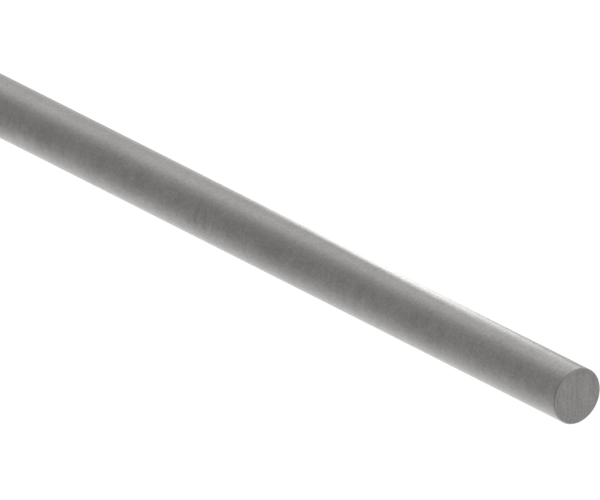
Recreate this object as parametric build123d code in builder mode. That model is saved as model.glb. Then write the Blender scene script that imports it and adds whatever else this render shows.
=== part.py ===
"""Round steel bar: one length of cold-finished stock, sawn square and deburred at both ends.

The bar lies along X with Z up, and the origin is the middle of its axis. Millimetres.
"""

import os

from build123d import *

# Driving dimensions
diameter = 25.4  # stock size of the section
length = 914.4  # cut length, from one sawn face to the other
edge_break = 0.5  # width of the bevel that deburring leaves round each sawn end

with BuildPart() as round_bar:
    # The section lies across the bar at mid-length, and grows to both ends
    with BuildSketch(Plane.YZ) as section:
        Circle(radius=diameter / 2)
    extrude(amount=length / 2, both=True)

    # The rims of the two sawn ends are the only round edges, and lose their sharp corner
    end_rims = round_bar.edges().filter_by(GeomType.CIRCLE)
    chamfer(end_rims, length=edge_break)

round_bar.part.label = "round_bar"

os.makedirs("parts", exist_ok=True)
export_step(round_bar.part, "parts/round_bar.step")
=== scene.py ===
"""One length of round ground steel bar, sawn square at both ends: its surfaces, stage, light and camera.

Metres throughout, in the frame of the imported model: the bar lies along X, its near end towards +X, with
Z up and the origin in the middle of its axis.
"""

import logging
import math
from dataclasses import dataclass
from enum import Enum, IntEnum
from typing import NamedTuple

import bmesh
import bpy
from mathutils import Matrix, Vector, noise


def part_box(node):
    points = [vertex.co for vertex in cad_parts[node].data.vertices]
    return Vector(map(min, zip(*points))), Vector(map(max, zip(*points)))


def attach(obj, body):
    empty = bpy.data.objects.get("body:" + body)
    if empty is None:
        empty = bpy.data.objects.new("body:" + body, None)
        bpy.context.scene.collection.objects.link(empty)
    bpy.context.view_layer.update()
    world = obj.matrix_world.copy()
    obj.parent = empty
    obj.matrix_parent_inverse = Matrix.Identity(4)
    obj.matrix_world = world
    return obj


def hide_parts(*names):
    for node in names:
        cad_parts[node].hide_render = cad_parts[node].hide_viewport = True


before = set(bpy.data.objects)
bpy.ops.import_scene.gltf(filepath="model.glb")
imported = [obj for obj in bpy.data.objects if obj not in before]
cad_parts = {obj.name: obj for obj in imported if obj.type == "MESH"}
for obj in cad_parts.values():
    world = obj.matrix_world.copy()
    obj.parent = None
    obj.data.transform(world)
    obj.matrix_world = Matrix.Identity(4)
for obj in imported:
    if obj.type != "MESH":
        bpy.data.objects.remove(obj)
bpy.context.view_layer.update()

LOG = logging.getLogger("round_bar")
MM = 0.001
PIECE = "ground_bar"
BAR_NODE = "round_bar"
BODY = "root"
MAP_NAME = "OFBake"

Colour = tuple[float, float, float]
Place = tuple[float, float, float]
MapSpot = tuple[float, float]
Ring = list[bmesh.types.BMVert]
Term = float | bpy.types.NodeSocket
SocketValue = float | tuple[float, ...] | bpy.types.NodeSocket

WHITE: Colour = (1.0, 1.0, 1.0)
# How far the saw blade's teeth are from its middle, which bends the marks that they leave
BLADE_RADIUS = 150 * MM


class End(Enum):
    """The bar's two sawn ends, by the way their faces look along X."""

    NEAR = 1
    FAR = -1


class Zone(IntEnum):
    """The differently worked zones of the bar's skin, numbered as its material slots."""

    GROUND_SIDE = 0
    DEBURRED_RIM = 1
    SAWN_FACE = 2


class GroupName(Enum):
    """The shader node groups that several finishes share."""

    STREAKS = "streaks"
    TONED_STEEL = "toned_steel"


def opaque(colour: Colour) -> tuple[float, float, float, float]:
    """Returns the colour with full opacity."""
    return (*colour, 1.0)


@dataclass(frozen=True)
class NodeBench:
    """A node tree and the short calls that fill it."""

    tree: bpy.types.NodeTree

    def add(self, kind: str, **settings: str) -> bpy.types.Node:
        """Adds one node.

        Args:
            kind: The node's type name.
            settings: The node's own properties, by name.

        Returns:
            The new node.
        """
        node = self.tree.nodes.new(kind)
        for name, value in settings.items():
            setattr(node, name, value)
        return node

    def join(self, source: bpy.types.NodeSocket, target: bpy.types.NodeSocket) -> None:
        """Links an output to an input."""
        self.tree.links.new(source, target)

    def feed(self, target: bpy.types.NodeSocket, value: SocketValue) -> None:
        """Gives an input what it works with.

        Args:
            target: The input.
            value: Its value, or the output to link it to.
        """
        if isinstance(value, bpy.types.NodeSocket):
            self.join(value, target)
        else:
            target.default_value = value

    def reckon(self, operation: str, *terms: Term) -> bpy.types.NodeSocket:
        """Adds a Math node.

        Args:
            operation: The node's operation, such as MULTIPLY.
            terms: Its inputs in order, each a number or an output socket.

        Returns:
            The node's output socket.
        """
        node = self.add("ShaderNodeMath", operation=operation)
        for target, term in zip(node.inputs, terms):
            self.feed(target, term)
        return node.outputs[0]

    def place(self, group: GroupName, **values: SocketValue) -> bpy.types.Node:
        """Places a shared group and sets its inputs.

        Args:
            group: The shared group.
            values: Each input's value or source socket, by the socket's name with underscores.

        Returns:
            The group's node.
        """
        node = self.add("ShaderNodeGroup")
        node.node_tree = bpy.data.node_groups[group.value]
        for name, value in values.items():
            self.feed(node.inputs[name.replace("_", " ")], value)
        return node


@dataclass(frozen=True)
class GroupShop:
    """Builds the shader node groups that the finishes share.

    Every pattern lies about middle, and each finer streak in it is fall_off times as strong as the last. The
    steel turns dull between dull_swing below the middle and dull_swing above it. The patches have
    patch_share of the say in where that is, and the lines have the rest.
    """

    middle: float = 0.5
    fall_off: float = 1.0
    dull_swing: float = 0.08
    patch_share: float = 0.75

    def start(
        self, name: GroupName, inputs: dict[str, str], outputs: dict[str, str]
    ) -> tuple[NodeBench, bpy.types.Node, bpy.types.Node]:
        """Starts an empty group.

        Args:
            name: The group's name.
            inputs: The type of each input socket, by name.
            outputs: The type of each output socket, by name.

        Returns:
            The bench, the group's input node and its output node.
        """
        tree = bpy.data.node_groups.new(name.value, "ShaderNodeTree")
        for socket, kind in inputs.items():
            tree.interface.new_socket(socket, in_out="INPUT", socket_type=kind)
        for socket, kind in outputs.items():
            tree.interface.new_socket(socket, in_out="OUTPUT", socket_type=kind)
        bench = NodeBench(tree)
        return bench, bench.add("NodeGroupInput"), bench.add("NodeGroupOutput")

    def streaks(self) -> None:
        """Builds a pattern that changes quickly along the position's X and more slowly along its Y and Z."""
        bench, given, result = self.start(
            GroupName.STREAKS,
            {
                "Position": "NodeSocketVector",
                "Widest": "NodeSocketFloat",
                "Run": "NodeSocketFloat",
                "Halvings": "NodeSocketFloat",
            },
            {"Height": "NodeSocketFloat", "Dull Spots": "NodeSocketFloat"},
        )
        # The widest streak sets the scale across, and a streak runs that many widths before it fades
        across = bench.reckon("DIVIDE", 1.0, given.outputs["Widest"])
        along = bench.reckon("DIVIDE", across, given.outputs["Run"])
        scale = bench.add("ShaderNodeCombineXYZ")
        bench.join(across, scale.inputs["X"])
        bench.join(along, scale.inputs["Y"])
        bench.join(along, scale.inputs["Z"])
        stretched = bench.add("ShaderNodeVectorMath", operation="MULTIPLY")
        bench.join(given.outputs["Position"], stretched.inputs[0])
        bench.join(scale.outputs[0], stretched.inputs[1])
        pattern = bench.add("ShaderNodeTexNoise", noise_dimensions="3D")
        pattern.inputs["Scale"].default_value = 1.0
        pattern.inputs["Roughness"].default_value = self.fall_off
        bench.join(stretched.outputs[0], pattern.inputs["Vector"])
        bench.join(given.outputs["Halvings"], pattern.inputs["Detail"])
        bench.join(pattern.outputs["Fac"], result.inputs["Height"])
        # The second channel is a pattern of its own, of the same kind
        channels = bench.add("ShaderNodeSeparateColor")
        bench.join(pattern.outputs["Color"], channels.inputs["Color"])
        bench.join(channels.outputs["Green"], result.inputs["Dull Spots"])

    def toned_steel(self) -> None:
        """Builds bare steel whose colour, roughness and mirroring follow its lines, grain and patches."""
        bench, given, result = self.start(
            GroupName.TONED_STEEL,
            {
                "Steel": "NodeSocketColor",
                "Lines": "NodeSocketFloat",
                "Line Tone": "NodeSocketFloat",
                "Grain": "NodeSocketFloat",
                "Grain Tone": "NodeSocketFloat",
                "Patches": "NodeSocketFloat",
                "Patch Tone": "NodeSocketFloat",
                "Roughness": "NodeSocketFloat",
                "Roughness Spread": "NodeSocketFloat",
                "Dull Lines": "NodeSocketFloat",
                "Dull Patches": "NodeSocketFloat",
                "Dullness": "NodeSocketFloat",
            },
            {"Colour": "NodeSocketColor", "Roughness": "NodeSocketFloat", "Metallic": "NodeSocketFloat"},
        )
        # Each pattern swings the tone about 1
        tone: Term = 1.0
        for name, share in (("Lines", "Line Tone"), ("Grain", "Grain Tone"), ("Patches", "Patch Tone")):
            swing = bench.reckon("SUBTRACT", given.outputs[name], self.middle)
            tone = bench.reckon("MULTIPLY_ADD", swing, given.outputs[share], tone)
        colour = bench.add("ShaderNodeVectorMath", operation="SCALE")
        bench.join(given.outputs["Steel"], colour.inputs[0])
        bench.join(tone, colour.inputs["Scale"])
        bench.join(colour.outputs[0], result.inputs["Colour"])
        # A lighter patch is the rougher one
        patch = bench.reckon("SUBTRACT", given.outputs["Patches"], self.middle)
        spread = given.outputs["Roughness Spread"]
        rough = bench.reckon("MULTIPLY_ADD", patch, spread, given.outputs["Roughness"])
        bench.join(rough, result.inputs["Roughness"])
        # A dull spot scatters light instead of mirroring it
        dull_lines = bench.reckon("MULTIPLY", given.outputs["Dull Lines"], 1.0 - self.patch_share)
        worked = bench.reckon("MULTIPLY_ADD", given.outputs["Dull Patches"], self.patch_share, dull_lines)
        dull = bench.add("ShaderNodeMapRange")
        dull.inputs["From Min"].default_value = self.middle - self.dull_swing
        dull.inputs["From Max"].default_value = self.middle + self.dull_swing
        dull.inputs["To Min"].default_value = 1.0
        bench.join(worked, dull.inputs["Value"])
        bench.join(bench.reckon("SUBTRACT", 1.0, given.outputs["Dullness"]), dull.inputs["To Max"])
        bench.join(dull.outputs["Result"], result.inputs["Metallic"])

    def build(self) -> None:
        """Builds every shared group once."""
        self.streaks()
        self.toned_steel()


@dataclass(frozen=True)
class Streaks:
    """One pattern in the steel: lines where it runs far, and grain or patches where it is as wide as long.

    Below the widest streak come finer ones, each half as wide as the last. A streak is run times as long as
    it is wide, and tone says how strongly the pattern shows.
    """

    widest: float
    halvings: float
    tone: float
    run: float = 1.0

    def lay(self, bench: NodeBench, position: bpy.types.NodeSocket) -> bpy.types.Node:
        """Lays the pattern in a material.

        Args:
            bench: The material's node bench.
            position: The socket with the position, whose X runs across the streaks.

        Returns:
            The pattern's node.
        """
        return bench.place(
            GroupName.STREAKS,
            Position=position,
            Widest=self.widest,
            Run=self.run,
            Halvings=self.halvings,
        )


@dataclass(frozen=True)
class SteelFinish:
    """How a zone of the bare steel was worked, and how that looks.

    The tool lines cross the position's X, and path gives that position from the place on the bar. Stretch is
    how far a highlight is drawn out across the lines, and dullness is how much less a dull spot mirrors.
    """

    name: str
    steel: Colour
    roughness: float
    roughness_spread: float
    stretch: float
    lines: Streaks
    line_depth: float
    grain: Streaks
    patches: Streaks
    dullness: float

    def path(self, bench: NodeBench, place: bpy.types.NodeSocket) -> bpy.types.NodeSocket:
        """Returns the position whose X runs across the tool lines: along the bar, for lines round it."""
        return place

    def build(self) -> bpy.types.Material:
        """Makes the finish's material.

        Returns:
            The material, a bare metal with its lines, grain and patches in colour, roughness and relief.
        """
        material = bpy.data.materials.new(self.name)
        material.use_nodes = True
        bench = NodeBench(material.node_tree)
        steel = material.node_tree.nodes["Principled BSDF"]
        steel.inputs["Anisotropic"].default_value = self.stretch
        place = bench.add("ShaderNodeTexCoord").outputs["Object"]
        lines = self.lines.lay(bench, self.path(bench, place))
        grain = self.grain.lay(bench, place)
        patches = self.patches.lay(bench, place)
        toned = bench.place(
            GroupName.TONED_STEEL,
            Steel=opaque(self.steel),
            Lines=lines.outputs["Height"],
            Line_Tone=self.lines.tone,
            Grain=grain.outputs["Height"],
            Grain_Tone=self.grain.tone,
            Patches=patches.outputs["Height"],
            Patch_Tone=self.patches.tone,
            Roughness=self.roughness,
            Roughness_Spread=self.roughness_spread,
            Dull_Lines=lines.outputs["Dull Spots"],
            Dull_Patches=patches.outputs["Dull Spots"],
            Dullness=self.dullness,
        )
        bench.join(toned.outputs["Colour"], steel.inputs["Base Color"])
        bench.join(toned.outputs["Roughness"], steel.inputs["Roughness"])
        bench.join(toned.outputs["Metallic"], steel.inputs["Metallic"])
        # Highlights stretch across the lines, which is the map's own first direction
        across = bench.add("ShaderNodeTangent", direction_type="UV_MAP", uv_map=MAP_NAME)
        bench.join(across.outputs["Tangent"], steel.inputs["Tangent"])
        relief = bench.add("ShaderNodeBump")
        relief.inputs["Distance"].default_value = self.line_depth
        bench.join(lines.outputs["Height"], relief.inputs["Height"])
        bench.join(relief.outputs["Normal"], steel.inputs["Normal"])
        return material


@dataclass(frozen=True)
class SawnFinish(SteelFinish):
    """A sawn face: its lines run up the face in shallow arcs, as the blade's teeth went."""

    blade_radius: float = BLADE_RADIUS

    def path(self, bench: NodeBench, place: bpy.types.NodeSocket) -> bpy.types.NodeSocket:
        """Returns the position whose X runs across the arcs.

        Args:
            bench: The material's node bench.
            place: The socket with the place on the bar.

        Returns:
            The socket with the position.
        """
        apart = bench.add("ShaderNodeSeparateXYZ")
        bench.join(place, apart.inputs[0])
        up = apart.outputs["Z"]
        bend = bench.reckon("MULTIPLY", bench.reckon("MULTIPLY", up, up), 1 / (2 * self.blade_radius))
        together = bench.add("ShaderNodeCombineXYZ")
        bench.join(bench.reckon("ADD", apart.outputs["Y"], bend), together.inputs["X"])
        bench.join(up, together.inputs["Y"])
        bench.join(apart.outputs["X"], together.inputs["Z"])
        return together.outputs[0]


GROUND_SIDE = SteelFinish(
    name="ground_side",
    steel=(0.455, 0.448, 0.437),
    roughness=0.38,
    roughness_spread=0.1,
    stretch=0.8,
    lines=Streaks(widest=3 * MM, halvings=3, tone=0.2, run=12),
    line_depth=0.01 * MM,
    grain=Streaks(widest=1.2 * MM, halvings=2, tone=0.75),
    patches=Streaks(widest=120 * MM, halvings=7, tone=0.5),
    dullness=0.28,
)
DEBURRED_RIM = SteelFinish(
    name="deburred_rim",
    steel=(0.42, 0.414, 0.404),
    roughness=0.42,
    roughness_spread=0.1,
    stretch=0.5,
    lines=Streaks(widest=0.4 * MM, halvings=4, tone=0.5, run=20),
    line_depth=0.01 * MM,
    grain=Streaks(widest=0.8 * MM, halvings=2, tone=0.3),
    patches=Streaks(widest=3 * MM, halvings=3, tone=0.3),
    dullness=0.05,
)
SAWN_FACE = SawnFinish(
    name="sawn_face",
    # Painted shade: this steel is darker than the side's to stand in for the dimmer light that falls on the
    # sawn end
    steel=(0.349, 0.344, 0.336),
    roughness=0.5,
    roughness_spread=0.1,
    stretch=0.4,
    lines=Streaks(widest=1.6 * MM, halvings=2, tone=0.6, run=10),
    line_depth=0.01 * MM,
    grain=Streaks(widest=0.7 * MM, halvings=1, tone=0.8),
    patches=Streaks(widest=16 * MM, halvings=5, tone=0.6),
    dullness=0.05,
)


class RimPoint(NamedTuple):
    """A point of the bevel's section: how far in from the sawn face and from the side."""

    from_face: float
    from_side: float


@dataclass(frozen=True)
class SawMarks:
    """The relief that the saw leaves on a face, all of it below the face's plane.

    Its ridges follow the noise at pattern_place. Its lip is a round step, with its centre at lip_centre on Z.
    """

    ridge_pitch: float = 1.3 * MM
    ridge_depth: float = 0.03 * MM
    ridge_run: float = 14 * MM
    pattern_place: float = 7.0
    blade_radius: float = BLADE_RADIUS
    lip_depth: float = 0.04 * MM
    lip_centre: float = -5 * MM
    lip_radius: float = 15.5 * MM
    lip_width: float = 0.5 * MM
    lip_steepness: float = 4.0

    def depth(self, across: float, up: float, end: End) -> float:
        """How far a point of the sawn face lies below the face's plane.

        Args:
            across: The point's place along Y.
            up: The point's place along Z.
            end: Which sawn face it is on.

        Returns:
            The depth, never negative.
        """
        arc = across + up * up / (2 * self.blade_radius)
        spot = Vector((arc / self.ridge_pitch, up / self.ridge_run, self.pattern_place * end.value))
        ridge = (1 + noise.noise(spot)) / 2
        # The last sliver broke through past the lip, where the face lies a touch lower
        past_lip = (math.hypot(across, up - self.lip_centre) - self.lip_radius) / self.lip_width
        step = 1 / (1 + math.exp(-self.lip_steepness * past_lip))
        return self.ridge_depth * ridge + self.lip_depth * step


@dataclass
class RoundBar:
    """The bar: its ground side, the deburred rims and the two sawn faces.

    The hand-made bevel is edge_break wide. Its width wanders by the share edge_wander, after the noise along
    a circle of radius wander_circle at wander_place, and it bulges outwards by the share edge_bulge.
    """

    radius: float
    half_length: float
    edge_break: float = 0.5 * MM
    edge_wander: float = 0.12
    wander_circle: float = 2.0
    wander_place: float = 5.0
    edge_bulge: float = 0.18
    cells_across_face: int = 80
    rim_steps: int = 4
    strips: int = 5
    rings_a_strip: int = 10
    marks: SawMarks = SawMarks()

    @property
    def segments(self) -> int:
        """How many faces go round the side: one for each cell along the face's four sides."""
        return 4 * self.cells_across_face

    def angle(self, step: float) -> float:
        """The direction of a step round the bar, in radians, with step 0 at a corner of the face's grid."""
        return 2 * math.pi * step / self.segments - math.pi / 4

    def edge_width(self, angle: float, end: End) -> float:
        """How wide the hand-made bevel is at a place round the rim.

        Args:
            angle: The direction round the bar.
            end: Which rim it is on.

        Returns:
            The width of each of the bevel's two legs.
        """
        across, up = self.wander_circle * math.cos(angle), self.wander_circle * math.sin(angle)
        wander = noise.noise(Vector((across, up, self.wander_place * end.value)))
        return self.edge_break * (1 + self.edge_wander * wander)

    def rim_point(self, step: int, angle: float, end: End) -> RimPoint:
        """A point across the bevel, which bulges a little between its two edges.

        Args:
            step: The step across the bevel, from 0 at the side to rim_steps at the sawn face.
            angle: The direction round the bar.
            end: Which rim it is on.

        Returns:
            The point of the bevel's section.
        """
        width = self.edge_width(angle, end)
        share = step / self.rim_steps
        bulge = self.edge_bulge * width * math.sin(math.pi * share)
        return RimPoint(width * (1 - share) - bulge, width * share - bulge)

    def side_ring(self, mesh: bmesh.types.BMesh, along: float) -> Ring:
        """One ring of vertices on the ground side.

        Args:
            mesh: The mesh being built.
            along: The ring's place along X.

        Returns:
            The ring's vertices in order round the bar.
        """
        ring = []
        for step in range(self.segments):
            turn = self.angle(step)
            ring.append(mesh.verts.new((along, self.radius * math.cos(turn), self.radius * math.sin(turn))))
        return ring

    def rim_ring(self, mesh: bmesh.types.BMesh, end: End, step: int) -> Ring:
        """One ring of vertices across the bevel.

        Args:
            mesh: The mesh being built.
            end: Which rim it is on.
            step: The step across the bevel.

        Returns:
            The ring's vertices in order round the bar.
        """
        ring = []
        for place in range(self.segments):
            turn = self.angle(place)
            point = self.rim_point(step, turn, end)
            out = self.radius - point.from_side
            across, up = out * math.cos(turn), out * math.sin(turn)
            along = self.half_length - point.from_face
            if step == self.rim_steps:
                along = self.half_length - self.marks.depth(across, up, end)
            ring.append(mesh.verts.new((end.value * along, across, up)))
        return ring

    def face_grid(self, mesh: bmesh.types.BMesh, end: End, rim: Ring) -> list[Ring]:
        """The sawn face's grid: squares inside squares, each opened out into a circle.

        Args:
            mesh: The mesh being built.
            end: Which sawn face it is.
            rim: The vertices round the face's edge, which the outermost square takes.

        Returns:
            The grid's rows of vertices.
        """
        cells = self.cells_across_face
        half = cells // 2
        rows = []
        for row in range(cells + 1):
            line = []
            for column in range(cells + 1):
                a, b = column - half, row - half
                ring = max(abs(a), abs(b))
                step = self.step_round(a, b, ring)
                if ring == half:
                    line.append(rim[round(step) % self.segments])
                    continue
                turn = self.angle(step)
                out = ring / half * (self.radius - self.edge_width(turn, end))
                across, up = out * math.cos(turn), out * math.sin(turn)
                along = end.value * (self.half_length - self.marks.depth(across, up, end))
                line.append(mesh.verts.new((along, across, up)))
            rows.append(line)
        return rows

    def step_round(self, a: int, b: int, ring: int) -> float:
        """The step round the rim that lies straight out from a cell corner of the face's grid.

        Args:
            a: The corner's column, counted from the middle.
            b: The corner's row, counted from the middle.
            ring: The square that the corner is on, counted from the middle.

        Returns:
            The step, a whole number on the outermost square.
        """
        if ring == 0:
            return 0.0
        quarter = self.cells_across_face
        if a == ring and b < ring:
            share = (b + ring) / (2 * ring)
            return quarter * share
        if b == ring and a > -ring:
            share = (ring - a) / (2 * ring)
            return quarter * (1 + share)
        if a == -ring and b > -ring:
            share = (ring - b) / (2 * ring)
            return quarter * (2 + share)
        share = (a + ring) / (2 * ring)
        return quarter * (3 + share)

    def band(self, mesh: bmesh.types.BMesh, first: Ring, second: Ring, zone: Zone) -> None:
        """Faces between two rings, the first of them nearer to +X.

        Args:
            mesh: The mesh being built.
            first: The ring's vertices nearer to +X.
            second: The next ring's vertices.
            zone: The zone that the faces belong to.
        """
        for step in range(self.segments):
            ahead = (step + 1) % self.segments
            face = mesh.faces.new((first[step], first[ahead], second[ahead], second[step]))
            face.material_index = zone
            face.smooth = True

    def sawn_face(self, mesh: bmesh.types.BMesh, end: End, rim: Ring) -> None:
        """Fills a sawn face inside its rim, looking outwards.

        Args:
            mesh: The mesh being built.
            end: Which sawn face it is.
            rim: The vertices round the face's edge.
        """
        rows = self.face_grid(mesh, end, rim)
        for low, high in zip(rows, rows[1:]):
            for column in range(self.cells_across_face):
                corners = [low[column], low[column + 1], high[column + 1], high[column]]
                if end is End.FAR:
                    corners.reverse()
                face = mesh.faces.new(corners)
                face.material_index = Zone.SAWN_FACE
                face.smooth = True

    def stations(self) -> list[float]:
        """The places of the side's rings.

        Returns:
            The places along X, from the near end to the far one.
        """
        count = self.strips * self.rings_a_strip
        reach = self.half_length
        return [reach - 2 * reach * step / count for step in range(1, count)]

    def lay_map(self, mesh: bmesh.types.BMesh) -> None:
        """Lays the skin out flat for painting: the side as strips along the bar, the ends as discs above.

        Args:
            mesh: The finished mesh.
        """
        sheet = FlatSheet(self)
        layer = mesh.loops.layers.uv.new(MAP_NAME)
        for face in mesh.faces:
            middle = face.calc_center_median()
            for loop in face.loops:
                if face.material_index == Zone.GROUND_SIDE:
                    spot = sheet.on_side(loop.vert.co, middle)
                else:
                    spot = sheet.on_end(loop.vert.co)
                loop[layer].uv = spot

    def mark_corners(self, mesh: bmesh.types.BMesh) -> None:
        """Keeps the edges crisp where one zone meets the next.

        Args:
            mesh: The finished mesh.
        """
        for edge in mesh.edges:
            zones = {face.material_index for face in edge.link_faces}
            edge.smooth = len(zones) == 1

    def build(self) -> bpy.types.Object:
        """Builds the bar's mesh as one closed skin.

        Returns:
            The bar's object, with its map and its three finishes.
        """
        mesh = bmesh.new()
        rings = [self.rim_ring(mesh, End.NEAR, step) for step in range(self.rim_steps, -1, -1)]
        near_rim = rings[0]
        side_start = len(rings) - 1
        rings += [self.side_ring(mesh, along) for along in self.stations()]
        side_stop = len(rings)
        rings += [self.rim_ring(mesh, End.FAR, step) for step in range(self.rim_steps + 1)]
        far_rim = rings[-1]
        for place, (first, second) in enumerate(zip(rings, rings[1:])):
            on_side = side_start <= place < side_stop
            self.band(mesh, first, second, Zone.GROUND_SIDE if on_side else Zone.DEBURRED_RIM)
        self.sawn_face(mesh, End.NEAR, near_rim)
        self.sawn_face(mesh, End.FAR, far_rim)
        self.mark_corners(mesh)
        self.lay_map(mesh)
        data = bpy.data.meshes.new(PIECE)
        mesh.to_mesh(data)
        mesh.free()
        bar = bpy.data.objects.new(PIECE, data)
        bpy.context.scene.collection.objects.link(bar)
        for finish in (GROUND_SIDE, DEBURRED_RIM, SAWN_FACE):
            data.materials.append(finish.build())
        return bar

    def seat(self, bar: bpy.types.Object) -> None:
        """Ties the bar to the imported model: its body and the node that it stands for.

        Args:
            bar: The bar's object.
        """
        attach(bar, BODY)
        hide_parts(BAR_NODE)


@dataclass(frozen=True)
class FlatSheet:
    """Where each place on the bar's skin lies on the flat map, in shares of the map's side.

    The side's strips lie one above the other, and above them the two ends lie side by side. An end's disc
    takes disc_share of its room.
    """

    bar: RoundBar
    strip_height: float = 0.153
    gap: float = 0.004
    disc_share: float = 0.96
    near_disc_along: float = 0.25
    far_disc_along: float = 0.75

    @property
    def disc_scale(self) -> float:
        """Map shares per metre at which an end would fill the height that the strips leave."""
        room = 1 - self.bar.strips * (self.strip_height + self.gap) - 2 * self.gap
        return room / (2 * self.bar.radius)

    def on_side(self, spot: Vector, middle: Vector) -> MapSpot:
        """A corner of a side face on the map.

        Args:
            spot: The corner's place.
            middle: The middle of its face, which says what strip and turn the corner belongs to.

        Returns:
            The corner's place on the map.
        """
        length = 2 * self.bar.half_length / self.bar.strips
        strip = int((self.bar.half_length - middle.x) / length)
        strip_end = self.bar.half_length - (strip + 1) * length
        share = (spot.x - strip_end) / length
        turn = math.atan2(spot.z, spot.y) / (2 * math.pi)
        middle_turn = math.atan2(middle.z, middle.y) / (2 * math.pi)
        # A face across the seam keeps its corners together
        turn += round(middle_turn - turn)
        # The turn runs from -0.5 to 0.5, and a strip's middle is at 0
        low = self.gap + strip * (self.strip_height + self.gap)
        return (self.gap + share * (1 - 2 * self.gap), low + (turn + 0.5) * self.strip_height)

    def on_end(self, spot: Vector) -> MapSpot:
        """A place on an end on the map: seen from outside, with the rim laid out round the face.

        Args:
            spot: The place on the end.

        Returns:
            Its place on the map.
        """
        inset = self.bar.half_length - abs(spot.x)
        flat = Vector((spot.y, spot.z))
        flat *= (1 + inset / self.bar.radius) * self.disc_scale * self.disc_share
        up = 1 - self.gap - self.disc_scale * self.bar.radius + flat.y
        if spot.x > 0:
            return (self.near_disc_along + flat.x, up)
        return (self.far_disc_along - flat.x, up)


@dataclass(frozen=True)
class StudioBand:
    """How bright the studio is in one direction round the bar's axis.

    The direction is in degrees from level behind the bar, through 90 straight up and 180 level in front.
    """

    direction: float
    level: float


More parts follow.
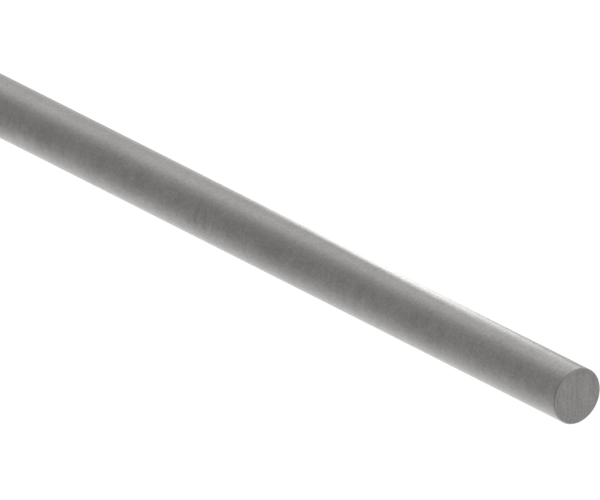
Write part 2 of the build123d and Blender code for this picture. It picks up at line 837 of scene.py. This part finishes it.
@dataclass
class Studio:
    """The stage and its light: a white tent, dim in front, and a small lamp low behind the bar's near half.

    Where the camera sees past the floor it sees plain white, and none of the tent's bands. Towards +X the
    tent dims to near_side_share of its light.
    """

    floor_side: float = 60.0
    floor_colour: Colour = (0.1, 0.1, 0.1)
    floor_roughness: float = 0.9
    floor_glow: Colour = (0.98, 0.98, 0.98)
    lightest: float = 1.5
    near_side_share: float = 0.55
    bands: tuple[StudioBand, ...] = (
        StudioBand(-90, 1.08),
        StudioBand(-60, 1.42),
        StudioBand(-30, 1.05),
        StudioBand(-12, 1.0),
        StudioBand(2, 0.98),
        StudioBand(16, 0.85),
        StudioBand(30, 0.65),
        StudioBand(48, 0.83),
        StudioBand(72, 0.99),
        StudioBand(86, 0.79),
        StudioBand(100, 0.55),
        StudioBand(115, 0.43),
        StudioBand(140, 0.363),
        StudioBand(180, 0.353),
        StudioBand(200, 0.397),
        StudioBand(220, 0.54),
        StudioBand(243, 0.775),
        StudioBand(270, 1.08),
    )
    lamp_place: Place = (0.166, 0.194, 0.048)
    lamp_aim: Place = (0.322, 0.0, 0.0)
    lamp_width: float = 0.094
    lamp_height: float = 0.14
    lamp_level: float = 2.25

    def build_floor(self, height: float) -> bpy.types.Object:
        """Lays the white floor under the bar.

        Args:
            height: The floor's height, which is the bar's lowest line.

        Returns:
            The floor's object.
        """
        mesh = bmesh.new()
        half = self.floor_side / 2
        corners = ((-half, -half), (half, -half), (half, half), (-half, half))
        mesh.faces.new([mesh.verts.new((x, y, height)) for x, y in corners])
        data = bpy.data.meshes.new("floor")
        mesh.to_mesh(data)
        mesh.free()
        floor = bpy.data.objects.new("floor", data)
        bpy.context.scene.collection.objects.link(floor)
        material = bpy.data.materials.new("white_floor")
        material.use_nodes = True
        paint = material.node_tree.nodes["Principled BSDF"]
        paint.inputs["Base Color"].default_value = opaque(self.floor_colour)
        paint.inputs["Roughness"].default_value = self.floor_roughness
        paint.inputs["Emission Color"].default_value = opaque(self.floor_glow)
        paint.inputs["Emission Strength"].default_value = 1.0
        data.materials.append(material)
        # The bar mirrors the tent's own lower half instead
        floor.visible_glossy = False
        return floor

    def build_tent(self) -> bpy.types.World:
        """Makes the tent round the bar: its brightness by direction, and plain white behind the picture.

        Returns:
            The world.
        """
        world = bpy.data.worlds.new("white_tent")
        world.use_nodes = True
        bench = NodeBench(world.node_tree)
        world.node_tree.nodes.clear()
        direction = bench.add("ShaderNodeSeparateXYZ")
        bench.join(bench.add("ShaderNodeTexCoord").outputs["Generated"], direction.inputs[0])
        # The ramp goes once round the bar, from straight down, which is a quarter turn below level
        turn = bench.reckon("ARCTAN2", direction.outputs["Z"], direction.outputs["Y"])
        from_below = bench.reckon("MULTIPLY_ADD", turn, 1 / (2 * math.pi), 1 / 4)
        ramp = bench.add("ShaderNodeValToRGB")
        bench.join(bench.reckon("FRACT", from_below), ramp.inputs["Fac"])
        self.fill_ramp(ramp.color_ramp)
        towards_near = bench.add("ShaderNodeMapRange")
        bench.join(direction.outputs["X"], towards_near.inputs["Value"])
        towards_near.inputs["To Min"].default_value = self.lightest
        towards_near.inputs["To Max"].default_value = self.lightest * self.near_side_share
        light = bench.add("ShaderNodeBackground")
        bench.join(ramp.outputs["Color"], light.inputs["Color"])
        bench.join(towards_near.outputs["Result"], light.inputs["Strength"])
        white = bench.add("ShaderNodeBackground")
        white.inputs["Color"].default_value = opaque(WHITE)
        seen = bench.add("ShaderNodeMixShader")
        bench.join(bench.add("ShaderNodeLightPath").outputs["Is Camera Ray"], seen.inputs["Fac"])
        bench.join(light.outputs[0], seen.inputs[1])
        bench.join(white.outputs[0], seen.inputs[2])
        bench.join(seen.outputs[0], bench.add("ShaderNodeOutputWorld").inputs["Surface"])
        bpy.context.scene.world = world
        return world

    def fill_ramp(self, ramp: bpy.types.ColorRamp) -> None:
        """Sets a ramp to the tent's bands, as shares of the lightest, because a ramp stops at 1.

        Args:
            ramp: The ramp, from straight down once round the bar.
        """
        ramp.interpolation = "B_SPLINE"
        while len(ramp.elements) < len(self.bands):
            ramp.elements.new(position=0.5)
        # Every stop is put in its place before any is coloured, because the ramp sorts them by place
        for stop, band in zip(ramp.elements, self.bands):
            stop.position = (band.direction + 90) / 360
        for stop, band in zip(ramp.elements, self.bands):
            share = band.level / self.lightest
            stop.color = opaque((share, share, share))

    def build_lamp(self) -> bpy.types.Object:
        """Hangs the small soft lamp that draws the highlight along the bar's top edge.

        Returns:
            The lamp's object.
        """
        lamp = bpy.data.lights.new("edge_lamp", "AREA")
        lamp.shape = "RECTANGLE"
        lamp.size = self.lamp_width
        lamp.size_y = self.lamp_height
        # The power goes by the lamp's area, so its level says how bright it looks at any size
        lamp.energy = self.lamp_level * math.pi * self.lamp_width * self.lamp_height
        holder = bpy.data.objects.new("edge_lamp", lamp)
        holder.location = self.lamp_place
        facing = Vector(self.lamp_aim) - Vector(self.lamp_place)
        holder.rotation_mode = "QUATERNION"
        holder.rotation_quaternion = facing.to_track_quat("-Z", "Y")
        holder.visible_camera = False
        bpy.context.scene.collection.objects.link(holder)
        return holder

    def build(self, floor_height: float) -> None:
        """Builds the floor, the tent and the lamp.

        Args:
            floor_height: The floor's height.
        """
        self.build_floor(floor_height)
        self.build_tent()
        self.build_lamp()


@dataclass(frozen=True)
class ProductCamera:
    """The long-lens camera that looks down along the bar from beyond its near end.

    It sees from nearest_share to farthest_share of its distance from the bar.
    """

    bearing: float = math.radians(51.36)
    height_angle: float = math.radians(23.74)
    lens_mm: float = 1400.0
    sensor_mm: float = 36.0
    nearest_share: float = 0.01
    farthest_share: float = 10.0
    picture_width: int = 600
    picture_height: int = 500
    bar_width_px: float = 59.65
    end_centre_px: tuple[float, float] = (577.25, 396.37)

    def build(self, end_centre: Vector, diameter: float) -> bpy.types.Object:
        """Places the camera so that the near end falls where the picture has it.

        Args:
            end_centre: The middle of the near sawn face.
            diameter: The bar's diameter, which sets the picture's scale.

        Returns:
            The camera's object.
        """
        data = bpy.data.cameras.new("product_camera")
        data.lens = self.lens_mm
        data.sensor_width = self.sensor_mm
        metres_a_px = diameter / self.bar_width_px
        distance = metres_a_px * self.picture_width * self.lens_mm / self.sensor_mm
        data.clip_start = distance * self.nearest_share
        data.clip_end = distance * self.farthest_share
        back = Vector((
            math.sin(self.bearing) * math.cos(self.height_angle),
            -math.cos(self.bearing) * math.cos(self.height_angle),
            math.sin(self.height_angle),
        ))
        turn = (-back).to_track_quat("-Z", "Y")
        right = turn @ Vector((1.0, 0.0, 0.0))
        up = turn @ Vector((0.0, 1.0, 0.0))
        across_px = self.end_centre_px[0] - self.picture_width / 2
        down_px = self.end_centre_px[1] - self.picture_height / 2
        camera = bpy.data.objects.new("product_camera", data)
        camera.location = end_centre + back * distance + (up * down_px - right * across_px) * metres_a_px
        camera.rotation_mode = "QUATERNION"
        camera.rotation_quaternion = turn
        bpy.context.scene.collection.objects.link(camera)
        bpy.context.scene.camera = camera
        return camera


def set_tones() -> None:
    """Shows the scene's light as it is, so that the white stage stays pure white."""
    view = bpy.context.scene.view_settings
    view.view_transform = "Standard"
    view.look = "None"


def main() -> None:
    """Builds the bar, its stage, light and camera."""
    logging.basicConfig(level=logging.INFO, format="%(name)s: %(message)s")
    _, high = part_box(BAR_NODE)
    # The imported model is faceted, so its lesser cross size is the circle that stays inside it
    radius = min(high.y, high.z)
    end_centre = Vector((high.x, 0.0, 0.0))
    GroupShop().build()
    round_bar = RoundBar(radius=radius, half_length=high.x)
    bar = round_bar.build()
    round_bar.seat(bar)
    LOG.info("%s: %d faces, %.1f mm long", bar.name, len(bar.data.polygons), 2 * high.x / MM)
    Studio().build(floor_height=-radius)
    LOG.info("stage: floor at %.2f mm", -radius / MM)
    camera = ProductCamera().build(end_centre, 2 * radius)
    LOG.info("%s: %.2f m from the near end", camera.name, (camera.location - end_centre).length)
    set_tones()


if __name__ == "__main__":
    main()
